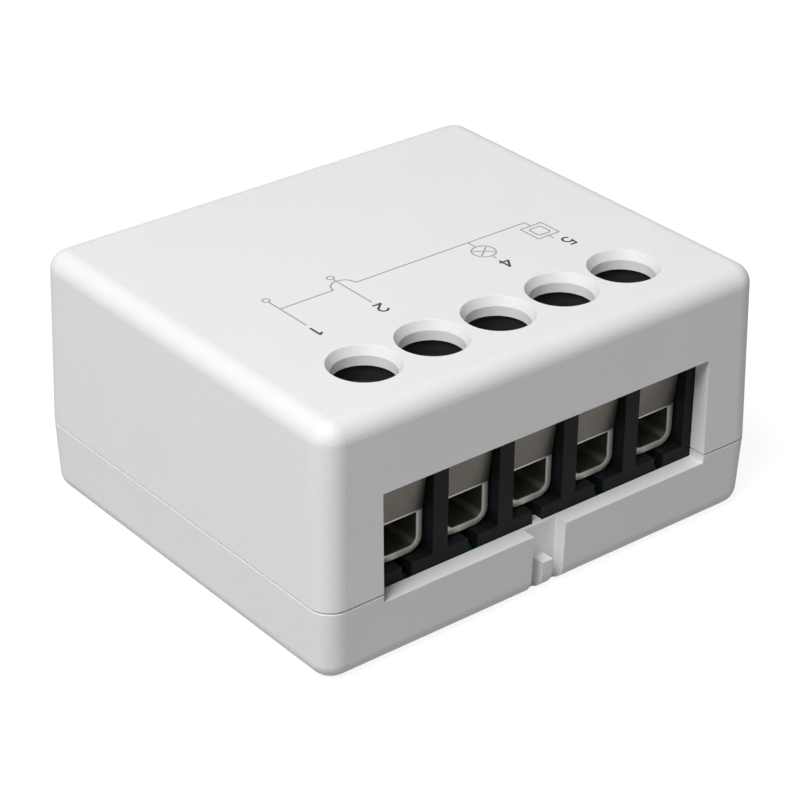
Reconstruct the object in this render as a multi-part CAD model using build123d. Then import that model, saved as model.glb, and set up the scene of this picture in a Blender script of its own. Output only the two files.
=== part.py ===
from build123d import *
import math
import os

# Smart relay module for a wall box: a two-part moulded case round a circuit board, with a
# five-pole rising-cage terminal row at the front, a clapper relay, a radio board and a supply.
# Millimetres. Front is -Y, where the wires go in, and the case stands on Z = 0 at its centre.

# Case, which is as wide and deep as its contents and its walls
parting_height = 5.8
wall = 1.45
roof = 1.45
base_floor = 1.4
cover_draft = 1.2
base_draft = 2.1
top_edge_radius = 1.5
bottom_edge_radius = 1.45
corner_extra = 0.23
inner_corner_radius = 0.8
seam_gap = 0.12
seam_chamfer = 0.09
tongue_thickness = 0.65
tongue_height = 1.5
snap_radius = 0.22
snap_length = 9.0
overrun = 1.0
running_clearance = 0.05
seat_clearance = 0.05
part_gap = 0.4

# Window for the wires, and the pry slot with its tab under it
window_side_cover = 0.465
window_sill_drop = 0.63
window_top_cover = 1.3
pry_slot_width = 3.0
pry_slot_depth = 1.15
pry_tab_width = 0.95
pry_tab_height = 2.55
pry_backing_width = 4.4
pry_backing = 0.7
locating_rib_rise = 0.1
jamb_width = 1.2

# Terminal row: the screw and its cage set the pitch of the poles and of the access holes
pole_count = 5
divider = 1.33
screw_row_offset = 0.35
housing_depth = 10.6
housing_top_gap = 0.1
cell_floor_rise = 1.6
cell_floor = 0.9
cell_back_wall = 1.0
skirt = 0.6
floor_slot_width = 0.85
floor_slot_length = 2.7
peg_radius = 0.6
peg_length = 1.2

# Access holes in the roof: a steep lead-in over a straight bore
access_mouth_radius = 2.68
access_bore_radius = 2.34
access_lead_in = 0.69
access_mouth_edge = 0.05

# Rising cage and the bar that it clamps a wire against
wire_height = 2.55
cage_sheet = 0.6
cage_screw_gap = 0.04
cage_side_gap = 0.155
cage_corner_radius = 1.2
cage_front_inset = 0.95
cage_back_gap = 0.9
cage_floor_gap = 0.1
cage_roof_gap = 0.1
cage_nut = 1.2
cage_nut_gap = 0.95
apron_drop = 0.04
apron_rim = 0.25
apron_lean = 0.38
bar_thickness = 0.8
bar_side_gap = 0.14
bar_pin_width = 1.2
bar_pin_drop = 0.9
bend_share = 0.9

# Terminal screw and its seat in the housing
screw_radius = 1.5
screw_pitch = 0.5
screw_head_radius = 2.2
screw_head_height = 1.0
screw_head_chamfer = 0.2
screw_head_gap = 0.05
screw_bore_clearance = 0.08
head_side_clearance = 0.15
recess_width = 0.6
recess_length = 2.6
recess_depth = 0.65
shoulder = 0.8
neck_wall = 1.45
lip_radius = 2.05
lip_height = 0.25
well_clearance = 0.3

# Circuit board
board_height = 3.0
board_thickness = 1.6
board_side_gap = 0.35
board_corner_radius = 1.0
lead_drop = 0.9
lead_hole_clearance = 0.15
support_width = 1.6
hold_down_width = 1.2
hold_down_reach = 1.0

# Relay: sizes of the sealed relay and of the clapper inside it
relay_length = 17.8
relay_width = 10.2
relay_headroom = 1.45
relay_wall = 0.5
relay_base_thickness = 1.4
relay_rib = 0.25
yoke_thickness = 0.9
yoke_width = 5.6
armature_room = 2.8
core_share = 0.424
pole_face_share = 0.667
pole_face_thickness = 0.5
bobbin_flange_thickness = 0.5
bobbin_tube_share = 0.59
coil_pin_inset = 0.45
coil_pin_gap = 0.15
winding_inset = 0.4
armature_thickness = 0.8
armature_length = 8.6
armature_angle = 4.4
contact_spring_thickness = 0.25
contact_spring_width = 2.6
spring_start_share = 0.4
contact_radius = 0.9
contact_height = 0.45
contact_post_thickness = 0.5
contact_post_inset = 2.0
relay_pin_size = 0.6

# Radio board: stands on edge at the right-hand side
radio_length = 15.0
radio_headroom = 2.25
radio_thickness = 0.8
shield_height = 7.2
shield_depth = 1.8
shield_sheet = 0.2
antenna_width = 0.5
antenna_thickness = 0.08
antenna_turns = 5
antenna_reach = 2.4
header_pins = 6
header_pitch = 2.0
header_pin_size = 0.5

# Supply parts with leads
bulk_capacitor_radius = 3.15
bulk_headroom = 2.6
output_capacitor_radius = 2.0
output_capacitor_height = 7.0
can_edge_radius = 0.5
can_groove_depth = 0.2
can_groove_height = 1.3
capacitor_lead_radius = 0.3
choke_radius = 2.5
choke_height = 6.4
choke_flange = 1.0
choke_core_radius = 1.3
choke_winding_share = 0.9
varistor_radius = 4.0
varistor_thickness = 2.8
varistor_edge_radius = 1.2
varistor_lift = 1.0
fusible_radius = 1.15
fusible_length = 7.0
fusible_cap_radius = 1.35
fusible_cap_length = 1.0
fusible_lead_radius = 0.35
fusible_lift = 0.3
varistor_lead_radius = 0.35
varistor_lead_share = 0.6

# Surface-mount packages: length, width and height of each body, and its legs
leg_thickness = 0.2
leg_width = 0.45
leg_reach = 0.8
package_lift = 0.15
package_edge = 0.3
bridge_rectifier_size = (4.7, 4.0, 2.5)
bridge_rectifier_legs = 2
converter_chip_size = (4.9, 3.9, 1.5)
converter_chip_legs = 4
regulator_chip_size = (4.5, 2.5, 1.5)
regulator_chip_legs = 3
driver_transistor_size = (2.9, 1.4, 1.0)
driver_transistor_legs = 2
flyback_diode_size = (4.3, 2.6, 2.2)
flyback_diode_legs = 1
input_optocoupler_size = (4.4, 3.2, 2.0)
input_optocoupler_legs = 2
chip_length = 2.0
chip_width = 1.25
chip_height = 0.6
chip_end = 0.4
chip_columns = 2
chip_rows = 2

# Room left over between the rows, and between the capacitors and the radio board
relay_room = 1.8
radio_room = 2.85

# Heights: the terminal stack sets the height of the case
board_top = board_height + board_thickness
cell_level = board_top + cell_floor_rise
cage_bottom = cell_level + cage_floor_gap
bar_bottom = cage_bottom + cage_sheet + wire_height
bar_top = bar_bottom + bar_thickness
cage_top = bar_top + cage_nut_gap + cage_nut
cage_travel = wire_height - running_clearance
cell_roof = cage_top + cage_travel + cage_roof_gap
apron_bottom = bar_bottom - apron_drop
screw_tip = bar_top + running_clearance / 2
head_seat = cell_roof + shoulder + screw_head_gap
head_top = head_seat + screw_head_height
neck_level = head_top + screw_head_gap
housing_top = neck_level + neck_wall
ceiling = housing_top + housing_top_gap
case_height = ceiling + roof
window_sill = parting_height - window_sill_drop
window_top = cell_roof - window_top_cover

# Width and depth: the rows of parts on the board set the plan of the case
front_row_depth = max(varistor_thickness, 2 * fusible_cap_radius)
middle_row_depth = input_optocoupler_size[1] + 2 * leg_reach
capacitor_row = 2 * (bulk_capacitor_radius + output_capacitor_radius) + part_gap
shield_length = (header_pins - 1) * header_pitch + header_pin_size
radio_stack = shield_depth + radio_thickness + header_pin_size + seat_clearance
inner_width = (2 * hold_down_reach + part_gap / 2 + relay_length + part_gap + capacitor_row
               + radio_room + radio_stack)
inner_depth = (seat_clearance + housing_depth + part_gap + front_row_depth + part_gap
               + middle_row_depth + relay_room + relay_width + part_gap + board_side_gap)
case_width = inner_width + 2 * wall
case_depth = inner_depth + 2 * wall
inner_half_width = inner_width / 2
inner_half_depth = inner_depth / 2
board_half_width = inner_half_width - board_side_gap
board_half_depth = inner_half_depth - board_side_gap
corner_radius = max(top_edge_radius, bottom_edge_radius) + corner_extra

# The terminal row, from one screw outwards
cage_inner_half = screw_radius + cage_screw_gap
cage_half_width = cage_inner_half + cage_sheet
cell_width = 2 * (cage_half_width + cage_side_gap)
pole_pitch = cell_width + divider
pole_places = [(index - (pole_count - 1) / 2) * pole_pitch for index in range(pole_count)]
housing_width = pole_count * pole_pitch + divider
window_half_width = housing_width / 2 - window_side_cover
housing_front = -inner_half_depth + seat_clearance
housing_back = housing_front + housing_depth
cell_back = housing_back - cell_back_wall
bar_back = cell_back - seat_clearance
cage_front = housing_front + cage_front_inset
cage_back = bar_back - bar_thickness - cage_back_gap
bar_front = cage_front + cage_sheet + cage_side_gap
screw_y = (cage_front + cage_back) / 2 + screw_row_offset

# Layout of the board, first the row behind the terminals from left to right
left_limit = -inner_half_width + hold_down_reach + part_gap / 2
front_limit = housing_back + part_gap
back_limit = board_half_depth - part_gap
fusible_reach = fusible_length / 2 + 2 * fusible_lead_radius
fusible_x = left_limit + fusible_reach + fusible_lead_radius
varistor_x = fusible_x + fusible_reach + fusible_lead_radius + part_gap + varistor_radius
rectifier_x = varistor_x + varistor_radius + part_gap + bridge_rectifier_size[0] / 2
regulator_x = rectifier_x + (bridge_rectifier_size[0] + regulator_chip_size[0]) / 2 + part_gap
fusible_y = front_limit + fusible_cap_radius
varistor_y = front_limit + varistor_thickness / 2
rectifier_y = front_limit + bridge_rectifier_size[1] / 2 + leg_reach
regulator_y = front_limit + regulator_chip_size[1] / 2 + leg_reach

# The small parts between that row and the relay, and the resistors behind the regulator
middle_limit = front_limit + front_row_depth + part_gap
optocoupler_x = left_limit + input_optocoupler_size[0] / 2
driver_x = optocoupler_x + (input_optocoupler_size[0] + driver_transistor_size[0]) / 2 + part_gap
diode_x = driver_x + (driver_transistor_size[0] + flyback_diode_size[0]) / 2 + part_gap
optocoupler_y = middle_limit + input_optocoupler_size[1] / 2 + leg_reach
driver_y = middle_limit + driver_transistor_size[1] / 2 + leg_reach
diode_y = middle_limit + flyback_diode_size[1] / 2 + leg_reach
capacitors_x = diode_x + flyback_diode_size[0] / 2 + part_gap
resistors_x = regulator_x - regulator_chip_size[0] / 2
resistors_y = regulator_y + regulator_chip_size[1] / 2 + leg_reach + part_gap
# The back row from left to right, with the converter and the choke in front of it
relay_x = left_limit + relay_length / 2
relay_y = back_limit - relay_width / 2
relay_height = ceiling - board_top - relay_headroom
bulk_x = relay_x + relay_length / 2 + part_gap + bulk_capacitor_radius
bulk_y = back_limit - bulk_capacitor_radius
bulk_capacitor_height = ceiling - board_top - bulk_headroom
output_x = bulk_x + bulk_capacitor_radius + part_gap + output_capacitor_radius
output_y = back_limit - output_capacitor_radius
converter_x = relay_x + relay_length / 2 + part_gap + converter_chip_size[0] / 2
converter_y = bulk_y - bulk_capacitor_radius - part_gap - leg_reach - converter_chip_size[1] / 2
choke_x = output_x - output_capacitor_radius + choke_radius
choke_y = output_y - output_capacitor_radius - part_gap - choke_radius
radio_face = (inner_half_width - hold_down_reach - seat_clearance - header_pin_size
              - radio_thickness)
radio_y = back_limit - radio_length / 2
radio_height = ceiling - board_top - radio_headroom

# Holes in the board for the leads, filled as the parts that own them are made
lead_holes = []


def block(x_low, x_high, y_low, y_high, z_low, z_high):
    """Box between two opposite corners."""
    size = (x_high - x_low, y_high - y_low, z_high - z_low)
    centre = ((x_low + x_high) / 2, (y_low + y_high) / 2, (z_low + z_high) / 2)
    return Pos(*centre) * Box(*size)


def side_block(side, near, far, y_low, y_high, z_low, z_high):
    """Box at one side, from near to far of the middle plane."""
    x_low, x_high = sorted((side * near, side * far))
    return block(x_low, x_high, y_low, y_high, z_low, z_high)


def drafted_block(width, depth, height, draft, edge_radius):
    """Block that narrows upwards by its draft, with round corners and a round upper edge."""
    body = extrude(Rectangle(width, depth), amount=height, taper=draft)
    uprights = [edge for edge in body.edges() if abs(edge.tangent_at(0.5).Z) > 0.9]
    body = fillet(uprights, corner_radius)
    return fillet(body.faces().sort_by(Axis.Z)[-1].edges(), edge_radius)


def rounded_prism(half_width, half_depth, z_low, z_high, radius):
    """Upright prism with a rounded rectangular section."""
    section = RectangleRounded(2 * half_width, 2 * half_depth, radius)
    return Pos(0, 0, z_low) * extrude(section, amount=z_high - z_low)


def rod(x, y, z_low, z_high, radius):
    """Upright round rod."""
    return Pos(x, y, (z_low + z_high) / 2) * Cylinder(radius, z_high - z_low)


def yz_profile(points, x_low, x_high):
    """Outline in the YZ plane, extruded along X."""
    face = make_face(Polyline(*[(x_low, y, z) for y, z in points], close=True))
    return extrude(face, amount=x_high - x_low, dir=(1, 0, 0))


def group(solids):
    """Separate solids that share one node."""
    return Compound([piece.solid() for piece in solids])


def snap_beads(radius, length):
    """Half-round beads on the outer face of the tongue, at the two sides and the back."""
    level = parting_height + tongue_height * 0.6
    side = inner_half_width + tongue_thickness
    back = inner_half_depth + tongue_thickness
    beads = [Pos(x, 0, level) * Rot(90, 0, 0) * Cylinder(radius, length) for x in (-side, side)]
    beads.append(Pos(0, back, level) * Rot(0, 90, 0) * Cylinder(radius, length))
    return beads


def window_block(half_width, z_low, z_high):
    """Space of the window, or of something as wide as it, through the front wall."""
    return block(-half_width, half_width, -case_depth / 2 - overrun, housing_front, z_low, z_high)


def make_top_cover():
    """Upper shell: drafted, rounded, rebated at its foot for the tongue of the base."""
    bottom = parting_height + seam_gap
    outer_height = case_height - parting_height
    shell = Pos(0, 0, parting_height) * drafted_block(
        case_width, case_depth, outer_height, cover_draft, top_edge_radius)
    shell -= rounded_prism(case_width, case_depth, parting_height - overrun, bottom, corner_radius)
    shell -= rounded_prism(inner_half_width, inner_half_depth, parting_height, ceiling,
                           inner_corner_radius)
    rebate = tongue_thickness + running_clearance
    space = rounded_prism(inner_half_width + rebate, inner_half_depth + rebate, parting_height,
                          parting_height + tongue_height + running_clearance,
                          inner_corner_radius + rebate)
    jamb_half = window_half_width + jamb_width - running_clearance
    shell -= space - window_block(jamb_half, 0, case_height)
    for groove in snap_beads(snap_radius + running_clearance, snap_length + 2 * running_clearance):
        shell -= groove
    shell -= window_block(window_half_width, parting_height - overrun, window_top)
    for x in pole_places:
        shell -= rod(x, screw_y, ceiling - overrun, case_height, access_bore_radius)
        shell -= Pos(x, screw_y, case_height - access_lead_in / 2) * Cone(
            access_bore_radius, access_mouth_radius, access_lead_in)
    mouths = [edge for edge in shell.edges().filter_by(GeomType.CIRCLE)
              if abs(edge.radius - access_mouth_radius) < running_clearance]
    shell = fillet(mouths, access_mouth_edge)
    foot = board_top + seat_clearance
    near = inner_half_width - hold_down_reach
    above_tongue = parting_height + 2 * tongue_height
    for side in (-1, 1):
        for y in hold_down_places():
            low, high = y - hold_down_width / 2, y + hold_down_width / 2
            shell += side_block(side, near, inner_half_width - running_clearance, low, high, foot,
                                ceiling + roof / 2)
            shell += side_block(side, near, inner_half_width + wall / 2, low, high, above_tongue,
                                ceiling + roof / 2)
    return shell


def hold_down_places():
    """Where the ribs of the cover press on the edges of the board, along Y."""
    front = housing_back + 2 * hold_down_width
    back = board_half_depth - board_corner_radius - hold_down_width
    return (front, back)


def make_base_shell():
    """Lower shell: floor, tongue, board supports, window sill and the pry slot with its tab."""
    shell = Pos(0, 0, parting_height) * mirror(
        drafted_block(case_width, case_depth, parting_height, base_draft, bottom_edge_radius),
        about=Plane.XY)
    rim = shell.faces().sort_by(Axis.Z)[-1]
    shell = chamfer(rim.edges(), seam_chamfer)
    tongue_top = parting_height + tongue_height
    shell += rounded_prism(inner_half_width + tongue_thickness, inner_half_depth + tongue_thickness,
                           parting_height, tongue_top, inner_corner_radius + tongue_thickness)
    shell -= rounded_prism(inner_half_width, inner_half_depth, base_floor, tongue_top + overrun,
                           inner_corner_radius)
    for bead in snap_beads(snap_radius, snap_length):
        shell += bead
    shell -= window_block(window_half_width, window_sill, tongue_top + overrun)
    shell -= window_block(window_half_width + jamb_width, parting_height, tongue_top + overrun)
    backing_front = -inner_half_depth - running_clearance
    backing_back = -inner_half_depth + pry_backing
    shell += block(-pry_backing_width / 2, pry_backing_width / 2, backing_front, backing_back,
                   base_floor / 2, board_top - seat_clearance)
    rib = floor_slot_width / 2 - running_clearance
    shell += block(-rib, rib, backing_front, backing_back, base_floor / 2,
                   window_sill + locating_rib_rise)
    slot_back = -case_depth / 2 + pry_slot_depth
    shell -= block(-pry_slot_width / 2, pry_slot_width / 2, -case_depth / 2 - overrun, slot_back,
                   -overrun, window_sill + overrun)
    shell += pry_tab(slot_back)
    for x, y in support_places():
        shell += block(x - support_width / 2, x + support_width / 2, y - support_width / 2,
                       y + support_width / 2, base_floor / 2, board_height)
    return shell


def pry_tab(slot_back):
    """Small tab at the foot of the pry slot, trimmed to the round lower edge of the case."""
    front = -case_depth / 2 + (parting_height - pry_tab_height) * math.tan(math.radians(base_draft))
    tab = block(-pry_tab_width / 2, pry_tab_width / 2, front, slot_back, 0, pry_tab_height)
    envelope = Pos(0, 0, parting_height) * mirror(
        drafted_block(case_width, case_depth, parting_height, base_draft, bottom_edge_radius),
        about=Plane.XY)
    return tab & envelope


def support_places():
    """Posts that carry the board: the four corners, the middle of each side and one under it."""
    x_edge = board_half_width - support_width
    y_edge = board_half_depth - support_width
    corners = [(x, y) for x in (-x_edge, x_edge) for y in (-y_edge, y_edge)]
    return corners + [(-x_edge, 0), (x_edge, 0), (0, 0)]


def make_terminal_housing():
    """Five-pole body: cells open to the front, head pockets above, slots in the cell floors."""
    half = housing_width / 2
    body = block(-half, half, housing_front, housing_back, board_top, housing_top)
    for x in pole_places:
        left, right = x - cell_width / 2, x + cell_width / 2
        body -= block(left, right, housing_front - overrun, cell_back, cell_level, cell_roof)
        body -= block(left, right, housing_front + skirt, cell_back, board_top - overrun,
                      cell_level - cell_floor)
        body -= block(x - floor_slot_width / 2, x + floor_slot_width / 2, housing_front - overrun,
                      housing_front + floor_slot_length, board_top - overrun, cell_level + overrun)
        pin_half = bar_pin_width / 2 + running_clearance
        body -= block(x - pin_half, x + pin_half, bar_back - bar_thickness - running_clearance,
                      cell_back, board_top - overrun, cell_level + overrun)
        body -= rod(x, screw_y, cell_roof - overrun, head_seat, screw_radius + screw_bore_clearance)
        body -= rod(x, screw_y, cell_roof + shoulder, neck_level,
                    screw_head_radius + head_side_clearance)
        body -= rod(x, screw_y, neck_level - screw_head_gap, housing_top + overrun, lip_radius)
        body -= rod(x, screw_y, neck_level + lip_height, housing_top + overrun,
                    access_bore_radius + well_clearance)
    for x, y in peg_places():
        body += rod(x, y, board_top - peg_length, cell_level, peg_radius)
    return body


def peg_places():
    """Locating pegs under the back corners of the terminal housing."""
    x = housing_width / 2 - divider / 2
    y = housing_back - divider / 2
    return [(-x, y), (x, y)]


def make_clamp_cage(x):
    """Cage bent from one strip: wire loop below, leaning apron in front, threaded top."""
    loop = block(-cage_half_width, cage_half_width, cage_front, cage_back, cage_bottom, cage_top)
    lower = [edge for edge in loop.edges().filter_by(Axis.Y) if edge.center().Z < cage_top]
    loop = fillet(lower, cage_corner_radius)
    hollow = block(-cage_inner_half, cage_inner_half, cage_front - overrun, cage_back + overrun,
                   cage_bottom + cage_sheet, cage_top - cage_nut)
    lower = [edge for edge in hollow.edges().filter_by(Axis.Y)
             if edge.center().Z < cage_top - cage_nut]
    loop -= fillet(lower, cage_corner_radius - cage_sheet)
    back = cage_front + cage_sheet
    apron = yz_profile(
        [(back, apron_bottom), (cage_front, apron_bottom), (cage_front, apron_bottom + apron_rim),
         (cage_front - apron_lean, cage_top), (back, cage_top)], -cage_half_width, cage_half_width)
    cage = loop + apron
    cage -= rod(0, screw_y, cage_top - cage_nut - overrun / 2, cage_top + overrun,
                screw_radius + running_clearance)
    return Pos(x, 0, 0) * cage


def make_contact_bar(x):
    """Tinned bar through the cage, bent down behind it into a solder pin."""
    half = cage_inner_half - bar_side_gap
    run = block(-half, half, bar_front, bar_back, bar_bottom, bar_top)
    lower = [edge for edge in run.edges().filter_by(Axis.Y) if edge.center().Z < bar_top]
    run = fillet(lower, cage_corner_radius - cage_sheet - running_clearance)
    leg = block(-half, half, bar_back - bar_thickness, bar_back, cell_level + running_clearance,
                bar_top)
    pin = block(-bar_pin_width / 2, bar_pin_width / 2, bar_back - bar_thickness, bar_back,
                board_height - bar_pin_drop, cell_level + overrun)
    bar = run + leg + pin
    bend = bar.edges().filter_by(Axis.X).sort_by(lambda edge: edge.center().Y + edge.center().Z)[-1]
    return Pos(x, 0, 0) * fillet(bend, bar_thickness * bend_share)


def make_clamp_screw(x):
    """Captive screw: shank down to the bar, head under the neck, cross recess."""
    screw = rod(0, 0, screw_tip, head_seat + screw_head_height / 2, screw_radius)
    head = rod(0, 0, head_seat, head_top, screw_head_radius)
    head = chamfer(head.edges().group_by(Axis.Z)[-1], screw_head_chamfer)
    screw += head
    for turn in (0, 90):
        screw -= Pos(0, 0, head_top - recess_depth / 2) * Rot(0, 0, turn) * Box(
            recess_length, recess_width, recess_depth)
    return Pos(x, screw_y, 0) * screw


def lead(x, y, radius, top):
    """Component lead from its body down through the board."""
    lead_holes.append((x, y, radius + lead_hole_clearance))
    return rod(x, y, board_height - lead_drop, top, radius)


def make_relay():
    """Sealed clapper relay, drawn with its coil upright and its contacts at the right-hand end."""
    floor = board_top
    half_length, half_width = relay_length / 2, relay_width / 2
    inner_length, inner_width = half_length - relay_wall, half_width - relay_wall
    base_top = floor + relay_base_thickness
    hinge_level = floor + relay_height - relay_wall - armature_room
    coil_pin_y = inner_width - coil_pin_inset
    flange_half = coil_pin_y - relay_pin_size / 2 - coil_pin_gap
    winding_radius = flange_half - winding_inset
    core_radius = winding_radius * core_share
    tube_radius = winding_radius * bobbin_tube_share
    case = block(-half_length, half_length, -half_width, half_width, floor + relay_rib,
                 floor + relay_height)
    case = fillet(case.edges().filter_by(Axis.Z) + case.faces().sort_by(Axis.Z)[-1].edges(),
                  relay_wall)
    case -= block(-inner_length, inner_length, -inner_width, inner_width, floor - overrun,
                  floor + relay_height - relay_wall)
    base_length = inner_length - seat_clearance
    base_width = inner_width - seat_clearance
    base = block(-base_length, base_length, -base_width, base_width, floor + relay_rib, base_top)
    for side in (-1, 1):
        base += side_block(side, base_length - relay_wall, base_length, -base_width, base_width,
                           floor, floor + 2 * relay_rib)

    yoke_left = -base_length + relay_wall
    coil_x = yoke_left + yoke_thickness + flange_half + seat_clearance
    yoke_right = coil_x + flange_half / 2
    yoke = block(yoke_left, yoke_right, -yoke_width / 2, yoke_width / 2, base_top,
                 base_top + yoke_thickness)
    yoke += block(yoke_left, yoke_left + yoke_thickness, -yoke_width / 2, yoke_width / 2, base_top,
                  hinge_level - running_clearance)
    bobbin_low = base_top + yoke_thickness
    face_top = hinge_level - 2 * running_clearance
    bobbin_high = face_top - pole_face_thickness
    core = rod(coil_x, 0, bobbin_low, face_top - pole_face_thickness / 2, core_radius)
    core += rod(coil_x, 0, bobbin_high, face_top, winding_radius * pole_face_share)
    bobbin = rod(coil_x, 0, bobbin_low, bobbin_high, tube_radius)
    for level in (bobbin_low, bobbin_high - bobbin_flange_thickness):
        bobbin += block(coil_x - flange_half, coil_x + flange_half, -flange_half, flange_half,
                        level, level + bobbin_flange_thickness)
    bobbin -= rod(coil_x, 0, bobbin_low - overrun, bobbin_high + overrun,
                  core_radius + running_clearance)
    winding = rod(coil_x, 0, bobbin_low + bobbin_flange_thickness,
                  bobbin_high - bobbin_flange_thickness, winding_radius)
    winding -= rod(coil_x, 0, bobbin_low, bobbin_high, tube_radius)

    lift = Pos(yoke_left, 0, hinge_level) * Rot(0, -armature_angle, 0)
    armature = lift * block(0, armature_length, -yoke_width / 2, yoke_width / 2, 0,
                            armature_thickness)
    post_right = base_length - contact_post_inset
    contact_x = post_right - contact_post_thickness - contact_radius
    contact_place = contact_x - yoke_left
    spring_left = armature_length * spring_start_share
    spring_right = contact_place + contact_radius + contact_spring_thickness
    contact_spring = block(spring_left, spring_right, -contact_spring_width / 2,
                           contact_spring_width / 2, armature_thickness,
                           armature_thickness + contact_spring_thickness)
    contact_spring += rod(contact_place, 0, armature_thickness - contact_height,
                          armature_thickness + contact_spring_thickness / 2, contact_radius)
    contact_spring = lift * contact_spring

    contact_top = hinge_level + armature_thickness - contact_height - running_clearance
    shelf = contact_top - contact_height
    fixed_contact = rod(contact_x, 0, shelf - contact_post_thickness / 2, contact_top,
                        contact_radius)
    fixed_contact += block(contact_x - contact_radius, post_right, -contact_spring_width / 2,
                           contact_spring_width / 2, shelf - contact_post_thickness, shelf)
    fixed_contact += block(post_right - contact_post_thickness, post_right,
                           -contact_spring_width / 2, contact_spring_width / 2, floor + relay_rib,
                           shelf)
    pin_x = post_right - contact_post_thickness / 2
    fixed_contact += relay_pin(pin_x, 0, floor + 2 * relay_rib)
    base -= block(post_right - contact_post_thickness - running_clearance,
                  post_right + running_clearance, -contact_spring_width / 2 - running_clearance,
                  contact_spring_width / 2 + running_clearance, floor - overrun, base_top + overrun)
    yoke += relay_pin(yoke_left + yoke_thickness / 2, 0, base_top + yoke_thickness / 2)
    base -= relay_pin_space(yoke_left + yoke_thickness / 2, 0)
    coil_pins = []
    for side in (-1, 1):
        coil_pins.append(relay_pin(coil_x, side * coil_pin_y, base_top + flange_half / 2))
        base -= relay_pin_space(coil_x, side * coil_pin_y)
    pieces = {
        "relay_case": case, "relay_base": base, "relay_yoke": yoke, "relay_core": core,
        "relay_bobbin": bobbin, "relay_winding": winding, "relay_armature": armature,
        "relay_contact_spring": contact_spring, "relay_fixed_contact": fixed_contact,
        "relay_coil_pins": group(coil_pins)}
    print("relay hinge at", round(relay_x + yoke_left, 4), round(relay_y, 4), round(hinge_level, 4))
    return {name: Pos(relay_x, relay_y, 0) * piece for name, piece in pieces.items()}


def relay_pin(x, y, top):
    """Square pin of the relay, through the board."""
    half = relay_pin_size / 2
    lead_holes.append((relay_x + x, relay_y + y, math.hypot(half, half) + lead_hole_clearance))
    return block(x - half, x + half, y - half, y + half, board_height - lead_drop, top)


def relay_pin_space(x, y):
    """Hole in the relay's base for one of its pins."""
    half = relay_pin_size / 2 + running_clearance
    return block(x - half, x + half, y - half, y + half, board_top - overrun,
                 board_top + relay_base_thickness + overrun)


def make_radio():
    """Radio board on edge, with its shield, its meander antenna and its row of pins."""
    low, high = board_top + seat_clearance, board_top + radio_height
    face = radio_face
    board = block(face, face + radio_thickness, radio_y - radio_length / 2,
                  radio_y + radio_length / 2, low, high)
    shield_low = low + 2 * header_pin_size
    shield = block(face - shield_depth, face, radio_y - shield_length / 2,
                   radio_y + shield_length / 2, shield_low, shield_low + shield_height)
    shield = fillet(shield.faces().sort_by(Axis.X)[0].edges(), shield_sheet)
    shield -= block(face - shield_depth + shield_sheet, face + overrun,
                    radio_y - shield_length / 2 + shield_sheet,
                    radio_y + shield_length / 2 - shield_sheet, shield_low + shield_sheet,
                    shield_low + shield_height - shield_sheet)
    strip_low = shield_low + shield_height + antenna_width
    step = shield_length / (2 * antenna_turns)
    start = radio_y - shield_length / 2
    antenna = None
    for turn in range(2 * antenna_turns + 1):
        y = start + turn * step
        upright = block(face - antenna_thickness, face, y - antenna_width / 2,
                        y + antenna_width / 2, strip_low, strip_low + antenna_reach)
        antenna = upright if antenna is None else antenna + upright
        if turn < 2 * antenna_turns:
            level = strip_low + (antenna_reach - antenna_width) * (turn % 2)
            antenna += block(face - antenna_thickness, face, y, y + step, level,
                             level + antenna_width)
    pins = []
    for index in range(header_pins):
        y = radio_y + (index - (header_pins - 1) / 2) * header_pitch
        half = header_pin_size / 2
        x = face + radio_thickness + half
        pins.append(block(x - half, x + half, y - half, y + half, board_height - lead_drop,
                          low + 3 * header_pin_size))
        lead_holes.append((x, y, math.hypot(half, half) + lead_hole_clearance))
    return {"radio_board": board, "radio_shield": shield, "radio_antenna": antenna,
            "radio_header": group(pins)}


def make_can_capacitor(x, y, radius, height):
    """Upright electrolytic capacitor: crimped can with a groove, on two leads."""
    low = board_top + seat_clearance
    can = fillet(rod(x, y, low, low + height, radius).edges(), can_edge_radius)
    ring_level = low + can_groove_height
    ring = Pos(x, y, ring_level) * Torus(radius + can_groove_depth, 2 * can_groove_depth)
    can -= ring
    for side in (-1, 1):
        can += lead(x + side * radius / 2, y, capacitor_lead_radius, low + can_groove_height)
    return can


def make_choke():
    """Drum choke: ferrite drum on end, with its winding between the flanges."""
    x, y = choke_x, choke_y
    low = board_top + seat_clearance
    high = low + choke_height
    drum = rod(x, y, low, low + choke_flange, choke_radius)
    drum += rod(x, y, high - choke_flange, high, choke_radius)
    drum += rod(x, y, low, high, choke_core_radius)
    for side in (-1, 1):
        drum += lead(x + side * choke_core_radius, y, capacitor_lead_radius, low + choke_flange / 2)
    winding = rod(x, y, low + choke_flange, high - choke_flange,
                  choke_radius * choke_winding_share)
    winding -= rod(x, y, low, high, choke_core_radius)
    return {"choke_core": drum, "choke_winding": winding}


def make_varistor():
    """Disc varistor on edge, on two leads."""
    x, y = varistor_x, varistor_y
    centre = board_top + varistor_lift + varistor_radius
    disc = Pos(x, y, centre) * Rot(90, 0, 0) * Cylinder(varistor_radius, varistor_thickness)
    disc = fillet(disc.edges(), varistor_edge_radius)
    for side in (-1, 1):
        disc += lead(x + side * varistor_radius * varistor_lead_share, y, varistor_lead_radius,
                     centre)
    return disc


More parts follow.
